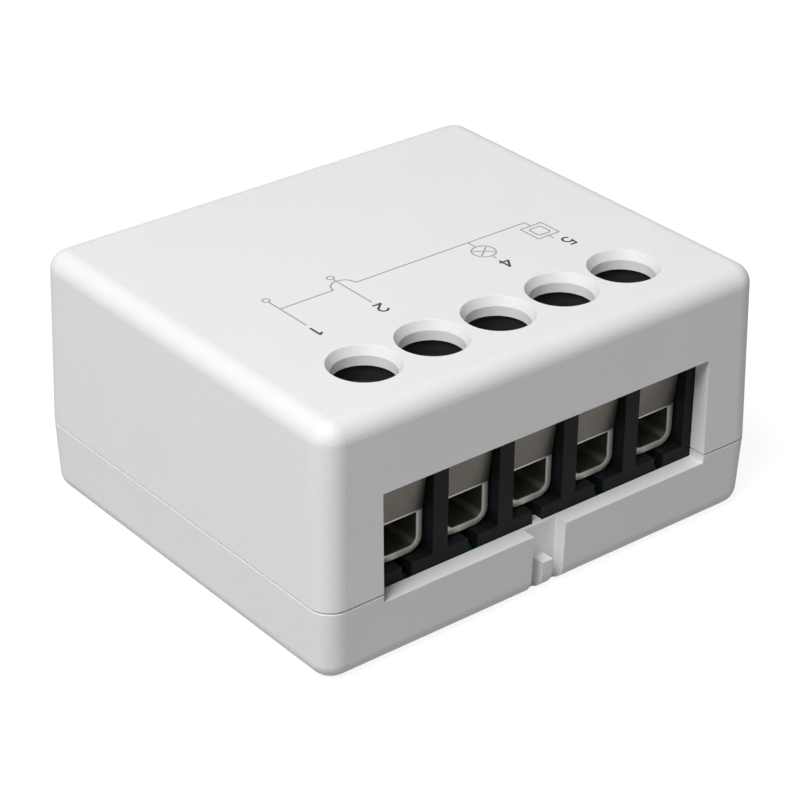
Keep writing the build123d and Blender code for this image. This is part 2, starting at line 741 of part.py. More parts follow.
def make_fusible_resistor():
    """Axial fusible resistor lying on the board, its leads bent down at both ends."""
    x, y = fusible_x, fusible_y
    axis = board_top + fusible_lift + fusible_cap_radius
    body = Pos(x, y, axis) * Rot(0, 90, 0) * Cylinder(fusible_radius, fusible_length)
    for side in (-1, 1):
        end = x + side * (fusible_length - fusible_cap_length) / 2
        cap = Pos(end, y, axis) * Rot(0, 90, 0) * Cylinder(fusible_cap_radius, fusible_cap_length)
        body += fillet(cap.edges(), fusible_cap_radius - fusible_radius)
        body += Pos(x + side * fusible_reach / 2, y, axis) * Rot(0, 90, 0) * Cylinder(
            fusible_lead_radius, fusible_reach)
        body += Pos(x + side * fusible_reach, y, axis) * Sphere(fusible_lead_radius)
        body += lead(x + side * fusible_reach, y, fusible_lead_radius, axis)
    return body


def make_package(x, y, size, legs):
    """Surface-mount package with gull-wing legs on its two long sides."""
    length, width, height = size
    low = board_top + package_lift
    body = block(x - length / 2, x + length / 2, y - width / 2, y + width / 2, low, low + height)
    body = chamfer(body.faces().sort_by(Axis.Z)[-1].edges(), package_edge)
    knee = low + height / 2 - leg_thickness
    for index in range(legs):
        leg_x = x + (index - (legs - 1) / 2) * length / legs
        for side in (-1, 1):
            root = width / 2 - leg_thickness
            elbow = (width + leg_reach) / 2
            toe = width / 2 + leg_reach
            for near, far, z_low, z_high in (
                    (root, elbow, knee, knee + leg_thickness),
                    (elbow - leg_thickness, elbow, board_top, knee + leg_thickness),
                    (elbow - leg_thickness, toe, board_top, board_top + leg_thickness)):
                y_low, y_high = sorted((y + side * near, y + side * far))
                body += block(leg_x - leg_width / 2, leg_x + leg_width / 2, y_low, y_high, z_low,
                              z_high)
    return body


def make_chips(left, front):
    """Block of chip parts in columns and rows, each a flat body between two soldered ends."""
    chips = []
    for index in range(chip_columns * chip_rows):
        x = left + chip_length / 2 + (index % chip_columns) * (chip_length + part_gap)
        y = front + chip_width / 2 + (index // chip_columns) * (chip_width + part_gap)
        body = block(x - chip_length / 2, x + chip_length / 2, y - chip_width / 2,
                     y + chip_width / 2, board_top, board_top + chip_height)
        groove = chip_end / 4
        for side in (-1, 1):
            seam = x + side * (chip_length / 2 - chip_end)
            body -= block(seam - groove / 2, seam + groove / 2, y - chip_width, y + chip_width,
                          board_top + chip_height - groove, board_top + chip_height + overrun)
        chips.append(body)
    return group(chips)


def make_circuit_board():
    """Main board: outline with a notch at the pry slot, pin slots, peg holes and lead holes."""
    board = rounded_prism(board_half_width, board_half_depth, board_height, board_top,
                          board_corner_radius)
    notch = pry_backing_width / 2 + board_side_gap
    board -= block(-notch, notch, -board_half_depth - overrun,
                   -inner_half_depth + pry_backing + board_side_gap, 0, case_height)
    half = bar_pin_width / 2 + lead_hole_clearance
    for x in pole_places:
        board -= block(x - half, x + half, bar_back - bar_thickness - lead_hole_clearance,
                       bar_back + lead_hole_clearance, 0, case_height)
    for x, y in peg_places():
        board -= rod(x, y, 0, case_height, peg_radius + running_clearance)
    for x, y, radius in lead_holes:
        board -= rod(x, y, 0, case_height, radius)
    return board


pieces = {
    "top_cover": make_top_cover(),
    "base_shell": make_base_shell(),
    "terminal_housing": make_terminal_housing(),
    "bulk_capacitor": make_can_capacitor(bulk_x, bulk_y, bulk_capacitor_radius,
                                         bulk_capacitor_height),
    "output_capacitor": make_can_capacitor(output_x, output_y, output_capacitor_radius,
                                           output_capacitor_height),
    "varistor": make_varistor(),
    "fusible_resistor": make_fusible_resistor(),
    "bridge_rectifier": make_package(rectifier_x, rectifier_y, bridge_rectifier_size,
                                     bridge_rectifier_legs),
    "converter_chip": make_package(converter_x, converter_y, converter_chip_size,
                                   converter_chip_legs),
    "regulator_chip": make_package(regulator_x, regulator_y, regulator_chip_size,
                                   regulator_chip_legs),
    "driver_transistor": make_package(driver_x, driver_y, driver_transistor_size,
                                      driver_transistor_legs),
    "flyback_diode": make_package(diode_x, diode_y, flyback_diode_size, flyback_diode_legs),
    "input_optocoupler": make_package(optocoupler_x, optocoupler_y, input_optocoupler_size,
                                      input_optocoupler_legs),
    "chip_resistors": make_chips(resistors_x, resistors_y),
    "chip_capacitors": make_chips(capacitors_x, middle_limit),
}
for number, pole_x in enumerate(pole_places, start=1):
    pieces[f"contact_bar_{number}"] = make_contact_bar(pole_x)
    pieces[f"clamp_cage_{number}"] = make_clamp_cage(pole_x)
    pieces[f"clamp_screw_{number}"] = make_clamp_screw(pole_x)
pieces.update(make_relay())
pieces.update(make_radio())
pieces.update(make_choke())
pieces["circuit_board"] = make_circuit_board()

print("case", round(case_width, 3), round(case_depth, 3), round(case_height, 3))
print("pole pitch", round(pole_pitch, 3), "screw row", round(screw_y, 3))
print("cage travel", round(cage_travel, 3), "turns", round(cage_travel / screw_pitch, 3))
os.makedirs("parts", exist_ok=True)
for name, piece in pieces.items():
    export_step(piece, f"parts/{name}.step")
print(len(pieces), "parts written")
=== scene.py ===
import math

import bmesh
import bpy
import numpy as np
from mathutils import Matrix, Vector


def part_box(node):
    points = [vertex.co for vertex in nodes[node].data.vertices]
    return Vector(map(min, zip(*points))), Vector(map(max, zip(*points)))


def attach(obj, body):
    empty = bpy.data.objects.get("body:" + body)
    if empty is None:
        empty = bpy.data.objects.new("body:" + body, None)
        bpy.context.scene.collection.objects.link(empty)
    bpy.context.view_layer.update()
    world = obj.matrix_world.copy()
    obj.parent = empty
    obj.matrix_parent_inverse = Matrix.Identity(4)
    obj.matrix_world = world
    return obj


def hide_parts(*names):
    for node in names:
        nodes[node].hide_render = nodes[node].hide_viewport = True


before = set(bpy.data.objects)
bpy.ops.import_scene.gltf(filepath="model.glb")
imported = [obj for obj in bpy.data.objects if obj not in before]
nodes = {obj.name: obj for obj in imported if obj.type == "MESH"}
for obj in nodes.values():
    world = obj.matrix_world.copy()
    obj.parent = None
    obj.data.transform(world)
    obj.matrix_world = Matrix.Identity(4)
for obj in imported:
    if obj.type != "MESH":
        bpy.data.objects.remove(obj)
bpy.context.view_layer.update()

# Smart relay module for a wall box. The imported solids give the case, the terminal housing and
# everything on the board. This file gives them their materials, replaces the screws, the rising
# cages, the contact bars and the two windings by finer surfaces, and prints the cover.
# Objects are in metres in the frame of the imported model: front is -Y and the case stands on
# Z = 0. Lengths in the dictionaries are millimetres.
mm = 0.001
print("frame loaded:", len(nodes), "nodes")

# the camera stands at the photograph's angle; place in millimetres, clip in metres
camera = {"focal": 119.6, "sensor": 36.0, "shift": 0.0665, "clip": (0.01, 20.0),
          "place": (-108.529, -134.074, 105.508),
          "right": (0.7903440812, -0.6126622449, -0.0010986437),
          "up": (0.3023122687, 0.3884266886, 0.8704780295),
          "back": (-0.5328822812, -0.6883092918, 0.4922060476)}
lens = bpy.data.cameras.new("productLens")
lens.lens, lens.sensor_width, lens.shift_x = camera["focal"], camera["sensor"], camera["shift"]
lens.clip_start, lens.clip_end = camera["clip"]
eye = bpy.data.objects.new("productCamera", lens)
axes = Matrix([camera["right"], camera["up"], camera["back"]]).transposed().to_4x4()
eye.matrix_world = Matrix.Translation([c * mm for c in camera["place"]]) @ axes
bpy.context.scene.collection.objects.link(eye)
bpy.context.scene.camera = eye
bpy.context.scene.view_settings.view_transform = "Standard"


def linear(hexColour):
    # sRGB hex to the linear colour that a shader socket takes
    parts = np.array([int(hexColour[i:i + 2], 16) for i in (1, 3, 5)]) / 255
    parts = np.where(parts <= 0.04045, parts / 12.92, ((parts + 0.055) / 1.055) ** 2.4)
    return (*parts.tolist(), 1.0)


def addNode(tree, kind, inputs=None, **settings):
    # one shader node with its settings; an input is a value or the socket that feeds it. A
    # Mix of colours names its sockets by number: 0 the share, 6 and 7 the colours, 2 the result.
    node = tree.nodes.new("ShaderNode" + kind)
    for name, value in settings.items():
        setattr(node, name, value)
    for name, value in (inputs or {}).items():
        if isinstance(value, bpy.types.NodeSocket):
            tree.links.new(value, node.inputs[name])
        else:
            node.inputs[name].default_value = value
    return node


def startMaterial(name, sockets):
    # a material with its constants on the shader's own sockets; gives back what patterns need
    material = bpy.data.materials.new(name)
    material.use_nodes = True
    tree = material.node_tree
    shader = tree.nodes["Principled BSDF"]
    for socket, value in sockets.items():
        shader.inputs[socket].default_value = value
    place = addNode(tree, "TexCoord").outputs["Object"]
    return material, tree, shader, place


noiseSpan = (0.3, 0.7)  # a noise texture seldom leaves this span
cloudNoise = {"Detail": 3.0, "Roughness": 0.6}
grainNoise = {"Detail": 2.0, "Roughness": 0.5}


def surfaceDetail(tree, shader, place, detail):
    # colour that drifts between two shades over the cloud size, roughness that varies with the
    # grain, and the grain itself as relief, each at its real size in millimetres
    cloud = addNode(tree, "TexNoise", {"Vector": place, "Scale": 1 / (detail["cloud"] * mm),
                                       **cloudNoise}).outputs["Fac"]
    grain = addNode(tree, "TexNoise", {"Vector": place, "Scale": 1 / (detail["grain"] * mm),
                                       **grainNoise}).outputs["Fac"]
    blend = addNode(tree, "MapRange", {"Value": cloud, "From Min": noiseSpan[0],
                                       "From Max": noiseSpan[1]})
    shade = addNode(tree, "Mix", {0: blend.outputs["Result"], 6: linear(detail["low"]),
                                  7: linear(detail["high"])}, data_type="RGBA").outputs[2]
    gloss = addNode(tree, "MapRange", {"Value": grain, "From Min": noiseSpan[0],
                                       "From Max": noiseSpan[1], "To Min": detail["roughness"][0],
                                       "To Max": detail["roughness"][1]}).outputs["Result"]
    relief = addNode(tree, "Bump", {"Strength": 1.0, "Distance": detail["depth"] * mm,
                                    "Height": grain})
    tree.links.new(shade, shader.inputs["Base Color"])
    tree.links.new(gloss, shader.inputs["Roughness"])
    tree.links.new(relief.outputs["Normal"], shader.inputs["Normal"])
    return shade


# ABS, injection moulded in a spark-eroded tool: white, satin, with an even fine grain, drawn a
# little coarser than the real one, which would not show. The lower shell's eased edge at the
# parting line, seamHalf above and below the height seam, is painted darker: painted shade, as
# the shadow in the seam.
absCase = {"low": "#ECECEC", "high": "#EEEEEE", "paintedSeamShade": "#DDDDDD", "seam": 5.76,
           "seamHalf": 0.055, "cloud": 6.0, "grain": 0.15, "depth": 0.021,
           "roughness": (0.44, 0.56), "ior": 1.54}


def absMoulded():
    material, tree, shader, place = startMaterial("ABS, spark-eroded white", {
        "IOR": absCase["ior"]})
    shade = surfaceDetail(tree, shader, place, absCase)
    # painted shade: a darker band over the eased edge at the parting line
    height = addNode(tree, "SeparateXYZ", {"Vector": place}).outputs["Z"]
    inSeam = addNode(tree, "Math", {0: height, 1: absCase["seam"] * mm,
                                    2: absCase["seamHalf"] * mm}, operation="COMPARE")
    whole = addNode(tree, "Mix", {0: inSeam.outputs["Value"], 6: shade,
                                  7: linear(absCase["paintedSeamShade"])}, data_type="RGBA").outputs[2]
    tree.links.new(whole, shader.inputs["Base Color"])
    return material


# PA66 with glass fibre, injection moulded: black with a cool cast and little gloss, slightly
# streaky where the fibres come to the surface. The screw wells, above wellFrom, are painted a
# lighter grey than the cells: painted light, as the light that falls into the wells.
pa66Housing = {"low": "#151619", "high": "#1A1B1F", "paintedWellLight": "#2B2B2D", "wellFrom": 15.2,
               "wellFull": 15.6, "cloud": 0.9, "grain": 0.09, "depth": 0.006,
               "roughness": (0.50, 0.66), "ior": 1.53, "gloss": 0.13}


def pa66Moulded():
    material, tree, shader, place = startMaterial("PA66 GF, moulded black", {
        "IOR": pa66Housing["ior"], "Specular IOR Level": pa66Housing["gloss"]})
    shade = surfaceDetail(tree, shader, place, pa66Housing)
    # painted light: the wells are drawn lighter grey, reaching full at wellFull
    height = addNode(tree, "SeparateXYZ", {"Vector": place}).outputs["Z"]
    inWell = addNode(tree, "MapRange", {"Value": height, "From Min": pa66Housing["wellFrom"] * mm,
                                        "From Max": pa66Housing["wellFull"] * mm})
    whole = addNode(tree, "Mix", {0: inWell.outputs["Result"], 6: shade,
                                  7: linear(pa66Housing["paintedWellLight"])}, data_type="RGBA").outputs[2]
    tree.links.new(whole, shader.inputs["Base Color"])
    return material


# PBT of a sealed relay: black, smoother than the housing
pbtRelay = {"low": "#131416", "high": "#1A1B1D", "cloud": 1.4, "grain": 0.12, "depth": 0.003,
            "roughness": (0.30, 0.42), "ior": 1.55}


def pbtMoulded():
    material, tree, shader, place = startMaterial("PBT, moulded black", {
        "IOR": pbtRelay["ior"]})
    surfaceDetail(tree, shader, place, pbtRelay)
    return material


# FR4 laminate under green solder mask: glossy, darker over bare laminate than over copper,
# with the copper standing a little proud
fr4Board = {"bare": "#0D5730", "copper": "#11663A", "island": 3.2, "scatter": 0.7, "gap": 0.02,
            "gapEdge": 0.032, "depth": 0.015, "roughness": 0.28, "ior": 1.5}


def fr4Masked():
    material, tree, shader, place = startMaterial("FR4, green solder mask", {
        "IOR": fr4Board["ior"], "Roughness": fr4Board["roughness"]})
    islands = addNode(tree, "TexVoronoi", {"Vector": place, "Scale": 1 / (fr4Board["island"] * mm),
                                           "Randomness": fr4Board["scatter"]},
                      feature="DISTANCE_TO_EDGE")
    copper = addNode(tree, "MapRange", {"Value": islands.outputs["Distance"],
                                        "From Min": fr4Board["gap"],
                                        "From Max": fr4Board["gapEdge"]}).outputs["Result"]
    shade = addNode(tree, "Mix", {0: copper, 6: linear(fr4Board["bare"]),
                                  7: linear(fr4Board["copper"])}, data_type="RGBA").outputs[2]
    relief = addNode(tree, "Bump", {"Strength": 1.0, "Distance": fr4Board["depth"] * mm,
                                    "Height": copper})
    tree.links.new(shade, shader.inputs["Base Color"])
    tree.links.new(relief.outputs["Normal"], shader.inputs["Normal"])
    return material


def rolledMetal(name, finish):
    # sheet and wire metals: a cloudy tarnish over a fine drawn or tumbled grain
    material, tree, shader, place = startMaterial(name, {"Metallic": 1.0})
    surfaceDetail(tree, shader, place, finish)
    return material


def filmedZinc(name, finish):
    # zinc under a film that hides part of its metal; the mesh's own attribute, 0 to 1, says how
    # much of a lighter colour is mixed in: a painted highlight
    material, tree, shader, place = startMaterial(name, {"Metallic": finish["metal"]})
    shade = surfaceDetail(tree, shader, place, finish)
    # painted highlight: a lighter colour mixed in where the attribute says
    bendHighlight = addNode(tree, "Attribute", attribute_name="bendHighlight").outputs["Fac"]
    whole = addNode(tree, "Mix", {0: bendHighlight, 6: shade, 7: linear(finish["paintedHighlight"])},
                    data_type="RGBA").outputs[2]
    tree.links.new(whole, shader.inputs["Base Color"])
    return material


# steel, zinc plated and passivated: warm grey, satin from tumbling
zincSteel = {"low": "#6B6760", "high": "#736F68", "cloud": 1.5, "grain": 0.07, "depth": 0.001,
             "roughness": (0.34, 0.48)}
# the same steel where the press sheared it: brighter, burnished by the die; on the apron's rim
# the same brighter colour is also a painted highlight
shearedSteel = {"low": "#C9C7BF", "high": "#D2D0C8", "cloud": 1.2, "grain": 0.06,
                "depth": 0.0005, "roughness": (0.46, 0.54)}
# and inside the strip, where the bath drains slowly and leaves a thicker, olive film, with a
# painted highlight: a lighter colour along the middle of each bend
oliveZinc = {"low": "#4D5547", "high": "#565E50", "paintedHighlight": "#8D9482", "metal": 0.45,
             "cloud": 1.0, "grain": 0.06, "depth": 0.001, "roughness": (0.44, 0.56)}
# steel, zinc plated, head and thread rolled: a little brighter than the cages
screwSteel = {"low": "#A3A09A", "high": "#B9B7B1", "cloud": 0.6, "grain": 0.06, "depth": 0.002,
              "roughness": (0.24, 0.38)}
# brass, tin plated: dull white metal
tinnedBrass = {"low": "#ABA79E", "high": "#C4C0B6", "cloud": 0.7, "grain": 0.05, "depth": 0.002,
               "roughness": (0.28, 0.42)}
# soft iron, nickel plated: the relay's magnet parts
nickelIron = {"low": "#9D9A94", "high": "#B4B1AA", "cloud": 1.2, "grain": 0.08, "depth": 0.002,
              "roughness": (0.26, 0.36)}
# nickel silver, stamped: the radio's shield
nickelSilver = {"low": "#B5B3AD", "high": "#C8C6C0", "cloud": 1.5, "grain": 0.10, "depth": 0.002,
                "roughness": (0.22, 0.34)}
# phosphor bronze, rolled: the relay's springs
phosphorBronze = {"low": "#B98A52", "high": "#CC9F63", "cloud": 0.9, "grain": 0.05,
                  "depth": 0.001, "roughness": (0.24, 0.34)}
# copper, gold flashed: the radio's antenna
goldFlash = {"low": "#CFA24A", "high": "#DDB45C", "cloud": 0.5, "grain": 0.03, "depth": 0.001,
             "roughness": (0.26, 0.36)}

# copper wire under clear enamel: orange-brown, glossy
enamelledCopper = {"low": "#A04A20", "high": "#BC6430", "cloud": 0.6, "grain": 0.05,
                   "depth": 0.001, "roughness": (0.20, 0.30), "coat": 0.6, "coatRoughness": 0.1}


def enamelledWire():
    material, tree, shader, place = startMaterial("copper wire, enamelled", {
        "Metallic": 1.0, "Coat Weight": enamelledCopper["coat"],
        "Coat Roughness": enamelledCopper["coatRoughness"]})
    surfaceDetail(tree, shader, place, enamelledCopper)
    return material


def castPlastic(name, finish):
    # dipped, cast and fired insulators: a matt skin with a fine orange peel
    material, tree, shader, place = startMaterial(name, {"IOR": finish["ior"]})
    surfaceDetail(tree, shader, place, finish)
    return material


# epoxy moulding compound of chip packages: charcoal, matt
epoxyMould = {"low": "#1B1B1C", "high": "#242425", "cloud": 0.8, "grain": 0.05, "depth": 0.003,
              "roughness": (0.52, 0.66), "ior": 1.55}
# epoxy dip of a varistor: blue, with an orange peel
epoxyDip = {"low": "#1E4E8C", "high": "#25599A", "cloud": 1.0, "grain": 0.35, "depth": 0.02,
            "roughness": (0.34, 0.46), "ior": 1.55}
# flameproof lacquer of a fusible resistor: grey-green
flameLacquer = {"low": "#4F6E5B", "high": "#5A7A66", "cloud": 0.8, "grain": 0.20, "depth": 0.01,
                "roughness": (0.40, 0.55), "ior": 1.5}
# nickel-zinc ferrite, sintered: dark grey and slightly porous
ferrite = {"low": "#2B2B2E", "high": "#38383C", "cloud": 0.5, "grain": 0.06, "depth": 0.006,
           "roughness": (0.45, 0.60), "ior": 1.9}

# PET sleeve shrunk on an aluminium can, whose bare top shows inside the sleeve's rim
petSleeve = {"sleeve": "#1B2430", "can": "#B9BCBF", "rim": 0.35, "topLayer": 0.3,
             "sleeveRoughness": 0.3, "canRoughness": 0.28, "grain": 0.12, "depth": 0.002,
             "ior": 1.57}


def sleevedCan(node):
    low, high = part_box(node)
    material, tree, shader, place = startMaterial("aluminium can in PET sleeve, " + node, {
        "IOR": petSleeve["ior"]})
    centre = addNode(tree, "Mapping", {"Vector": place, "Location": (
        -(low.x + high.x) / 2, -(low.y + high.y) / 2, -high.z)}).outputs["Vector"]
    apart = addNode(tree, "SeparateXYZ", {"Vector": centre})
    flat = addNode(tree, "CombineXYZ", {"X": apart.outputs["X"], "Y": apart.outputs["Y"]})
    radius = addNode(tree, "VectorMath", {0: flat.outputs["Vector"]},
                     operation="LENGTH").outputs["Value"]
    inside = addNode(tree, "Math", {0: radius, 1: (high.x - low.x) / 2 - petSleeve["rim"] * mm},
                     operation="LESS_THAN").outputs["Value"]
    above = addNode(tree, "Math", {0: apart.outputs["Z"], 1: -petSleeve["topLayer"] * mm},
                    operation="GREATER_THAN").outputs["Value"]
    bare = addNode(tree, "Math", {0: inside, 1: above}, operation="MULTIPLY").outputs["Value"]
    shade = addNode(tree, "Mix", {0: bare, 6: linear(petSleeve["sleeve"]),
                                  7: linear(petSleeve["can"])}, data_type="RGBA").outputs[2]
    grain = addNode(tree, "TexNoise", {"Vector": place,
                                       "Scale": 1 / (petSleeve["grain"] * mm)}).outputs["Fac"]
    gloss = addNode(tree, "MapRange", {"Value": bare, "To Min": petSleeve["sleeveRoughness"],
                                       "To Max": petSleeve["canRoughness"]}).outputs["Result"]
    relief = addNode(tree, "Bump", {"Strength": 1.0, "Distance": petSleeve["depth"] * mm,
                                    "Height": grain})
    tree.links.new(shade, shader.inputs["Base Color"])
    tree.links.new(bare, shader.inputs["Metallic"])
    tree.links.new(gloss, shader.inputs["Roughness"])
    tree.links.new(relief.outputs["Normal"], shader.inputs["Normal"])
    return material


# sintered ceramic chips with tinned ends, laid out in columns one chip and one gap apart
chipBody = {"length": 2.0, "step": 2.4, "end": 0.4, "tin": "#C2BFB8", "grain": 0.05,
            "depth": 0.002, "bodyRoughness": 0.42, "tinRoughness": 0.32, "ior": 1.6}


def ceramicChips(name, node, colour):
    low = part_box(node)[0]
    material, tree, shader, place = startMaterial(name, {"IOR": chipBody["ior"]})
    start = addNode(tree, "Mapping", {"Vector": place,
                                      "Location": (-low.x, -low.y, -low.z)}).outputs["Vector"]
    along = addNode(tree, "SeparateXYZ", {"Vector": start}).outputs["X"]
    within = addNode(tree, "Math", {0: along, 1: chipBody["step"] * mm}, operation="MODULO")
    fromMiddle = addNode(tree, "Math", {0: within.outputs["Value"],
                                        1: chipBody["length"] / 2 * mm}, operation="SUBTRACT")
    distance = addNode(tree, "Math", {0: fromMiddle.outputs["Value"]}, operation="ABSOLUTE")
    tinned = addNode(tree, "Math", {0: distance.outputs["Value"],
                                    1: (chipBody["length"] / 2 - chipBody["end"]) * mm},
                     operation="GREATER_THAN").outputs["Value"]
    shade = addNode(tree, "Mix", {0: tinned, 6: linear(colour), 7: linear(chipBody["tin"])},
                    data_type="RGBA").outputs[2]
    gloss = addNode(tree, "MapRange", {"Value": tinned, "To Min": chipBody["bodyRoughness"],
                                       "To Max": chipBody["tinRoughness"]}).outputs["Result"]
    grain = addNode(tree, "TexNoise", {"Vector": place,
                                       "Scale": 1 / (chipBody["grain"] * mm)}).outputs["Fac"]
    relief = addNode(tree, "Bump", {"Strength": 1.0, "Distance": chipBody["depth"] * mm,
                                    "Height": grain})
    tree.links.new(shade, shader.inputs["Base Color"])
    tree.links.new(tinned, shader.inputs["Metallic"])
    tree.links.new(gloss, shader.inputs["Roughness"])
    tree.links.new(relief.outputs["Normal"], shader.inputs["Normal"])
    return material


# pad-printed ink: thin, matt, and a little uneven where the pad lifted
padInk = {"cloud": 0.25, "grain": 0.08, "depth": 0.0005, "roughness": (0.45, 0.6), "ior": 1.5}


def printedInk(name, low, high):
    material, tree, shader, place = startMaterial(name, {"IOR": padInk["ior"]})
    surfaceDetail(tree, shader, place, dict(padInk, low=low, high=high))
    return material


lineInk = printedInk("pad-printed ink, light grey", "#A0A0A0", "#A8A8A8")
digitInk = printedInk("pad-printed ink, dark grey", "#3A3A3A", "#444444")
white, black, relayBlack, green = absMoulded(), pa66Moulded(), pbtMoulded(), fr4Masked()
cageMetal = rolledMetal("steel, zinc plated", zincSteel)
edgeMetal = rolledMetal("steel, zinc plated, sheared edge", shearedSteel)
insideMetal = filmedZinc("steel, zinc plated, olive passivation", oliveZinc)
screwMetal = rolledMetal("screw steel, zinc plated", screwSteel)
tinMetal = rolledMetal("brass, tin plated", tinnedBrass)
ironMetal = rolledMetal("soft iron, nickel plated", nickelIron)
shieldMetal = rolledMetal("nickel silver, stamped", nickelSilver)
springMetal = rolledMetal("phosphor bronze, rolled", phosphorBronze)
antennaMetal = rolledMetal("copper, gold flashed", goldFlash)
wireMetal = enamelledWire()
packageEpoxy = castPlastic("epoxy moulding compound", epoxyMould)
varistorEpoxy = castPlastic("epoxy dip, blue", epoxyDip)
lacquer = castPlastic("flameproof lacquer", flameLacquer)
ferriteCore = castPlastic("nickel-zinc ferrite", ferrite)

dress = {
    "top_cover": white, "base_shell": white, "terminal_housing": black, "circuit_board": green,
    "radio_board": green, "relay_case": relayBlack, "relay_base": relayBlack,
    "relay_bobbin": relayBlack, "relay_yoke": ironMetal, "relay_core": ironMetal,
    "relay_armature": ironMetal, "relay_contact_spring": springMetal,
    "relay_fixed_contact": springMetal, "relay_coil_pins": tinMetal, "relay_winding": wireMetal,
    "radio_shield": shieldMetal, "radio_antenna": antennaMetal, "radio_header": tinMetal,
    "fusible_resistor": lacquer, "varistor": varistorEpoxy, "bridge_rectifier": packageEpoxy,
    "converter_chip": packageEpoxy, "regulator_chip": packageEpoxy,
    "driver_transistor": packageEpoxy, "flyback_diode": packageEpoxy,
    "input_optocoupler": packageEpoxy, "choke_core": ferriteCore, "choke_winding": wireMetal,
    "bulk_capacitor": sleevedCan("bulk_capacitor"),
    "output_capacitor": sleevedCan("output_capacitor"),
    "chip_resistors": ceramicChips("alumina resistors, tinned ends", "chip_resistors", "#1E2023"),
    "chip_capacitors": ceramicChips("ceramic capacitors, tinned ends", "chip_capacitors",
                                    "#A08056")}
for number in range(1, 6):
    dress["clamp_cage_%d" % number] = cageMetal
    dress["clamp_screw_%d" % number] = screwMetal
    dress["contact_bar_%d" % number] = tinMetal
for name, material in dress.items():
    nodes[name].data.materials.clear()
    nodes[name].data.materials.append(material)
print("materials:", len(bpy.data.materials))


# in millimetres: points closer than near become one, and edges shorter than sliver go
weld = {"near": 0.002, "sliver": 0.0005}


def gridPiece(name, grids, materials, sharpAngle=32):
    # Each grid is an array of points, rows by columns by 3, in millimetres, with a flag for
    # columns that close on themselves, and the number of the material that it takes, or an array
    # of numbers, one for each quad. Neighbouring points become quads, and points that fall
    # together, at seams and poles, are merged.
    points, faces, finishes, start = [], [], [], 0
    for grid, closed, finish in grids:
        rows, columns = grid.shape[:2]
        index = start + np.arange(rows * columns).reshape(rows, columns)
        if closed:
            index = np.hstack([index, index[:, :1]])
        quads = np.stack([index[:-1, :-1], index[:-1, 1:], index[1:, 1:], index[1:, :-1]], -1)
        points.append(grid.reshape(-1, 3))
        faces.append(quads.reshape(-1, 4))
        finishes.append(np.broadcast_to(finish, quads.shape[:2]).ravel())
        start += rows * columns
    mesh = bpy.data.meshes.new(name)
    mesh.from_pydata((np.vstack(points) * mm).tolist(), [], np.vstack(faces).tolist())
    for material in materials:
        mesh.materials.append(material)
    mesh.polygons.foreach_set("material_index", np.concatenate(finishes))
    work = bmesh.new()
    work.from_mesh(mesh)
    bmesh.ops.remove_doubles(work, verts=work.verts, dist=weld["near"] * mm)
    bmesh.ops.dissolve_degenerate(work, edges=work.edges, dist=weld["sliver"] * mm)
    bmesh.ops.recalc_face_normals(work, faces=work.faces)
    work.to_mesh(mesh)
    work.free()
    mesh.polygons.foreach_set("use_smooth", np.ones(len(mesh.polygons), bool))
    mesh.set_sharp_from_angle(angle=math.radians(sharpAngle))
    piece = bpy.data.objects.new(name, mesh)
    bpy.context.scene.collection.objects.link(piece)
    flatter = piece.modifiers.new("flat faces stay flat", "WEIGHTED_NORMAL")
    flatter.weight, flatter.keep_sharp = 100, True
    return piece


def roundedOutline(halfWidth, halfHeight, radii, steps=4):
    # rectangle with quarter circles at its corners, anticlockwise; one radius, or one for each
    radii = np.broadcast_to(radii, 4)
    turn = np.linspace(0, math.pi / 2, steps + 1)
    points = []
    for quarter, (sx, sy) in enumerate(((1, 1), (-1, 1), (-1, -1), (1, -1))):
        angle = turn + quarter * math.pi / 2
        radius = radii[quarter]
        centre = np.array([sx * (halfWidth - radius), sy * (halfHeight - radius)])
        points.append(centre + radius * np.stack([np.cos(angle), np.sin(angle)], -1))
    return np.vstack(points)


def polygonOutline(corners, radius, steps=4):
    # closed convex outline, anticlockwise, with an arc in place of each corner, as points and
    # outward normals; each arc turns from one side's normal to the next's
    corners = np.array(corners, float)
    points, normals = [], []
    for before, here, after in zip(np.roll(corners, 1, 0), corners, np.roll(corners, -1, 0)):
        inward, outward = here - before, after - here
        inward, outward = inward / np.hypot(*inward), outward / np.hypot(*outward)
        first, last = math.atan2(-inward[0], inward[1]), math.atan2(-outward[0], outward[1])
        last += 2 * math.pi if last < first else 0
        reach = radius * math.tan((last - first) / 2)
        middle = here - reach * inward + radius * np.array([-inward[1], inward[0]])
        angle = np.linspace(first, last, steps + 1)
        normal = np.stack([np.cos(angle), np.sin(angle)], -1)
        points.append(middle + radius * normal)
        normals.append(normal)
    return np.vstack(points), np.vstack(normals)


def roundedBar(outline, normals, halfLength, radius, steps=3):
    # Outline carried along a straight line. Towards each end it shrinks along its own normals
    # as 1 - cos while it goes on as sin, which rounds the end edges; the middle closes the ends.
    turn = np.linspace(math.pi / 2, 0, steps + 1)
    along = halfLength - radius + radius * np.sin(turn)
    inset = radius * (1 - np.cos(turn))
    along, inset = np.concatenate([along, -along[::-1]]), np.concatenate([inset, inset[::-1]])
    rings = outline[None] - inset[:, None, None] * normals[None]
    middle = np.broadcast_to(outline.mean(0), (1, len(outline), 2))
    rings = np.concatenate([middle, rings, middle])
    along = np.concatenate([along[:1], along, along[-1:]])
    return np.dstack([np.broadcast_to(along[:, None], rings.shape[:2]), rings])


# points along each quarter bend of a strip, and along a straight run before one
stripPoints = {"bend": 9, "straight": 5}


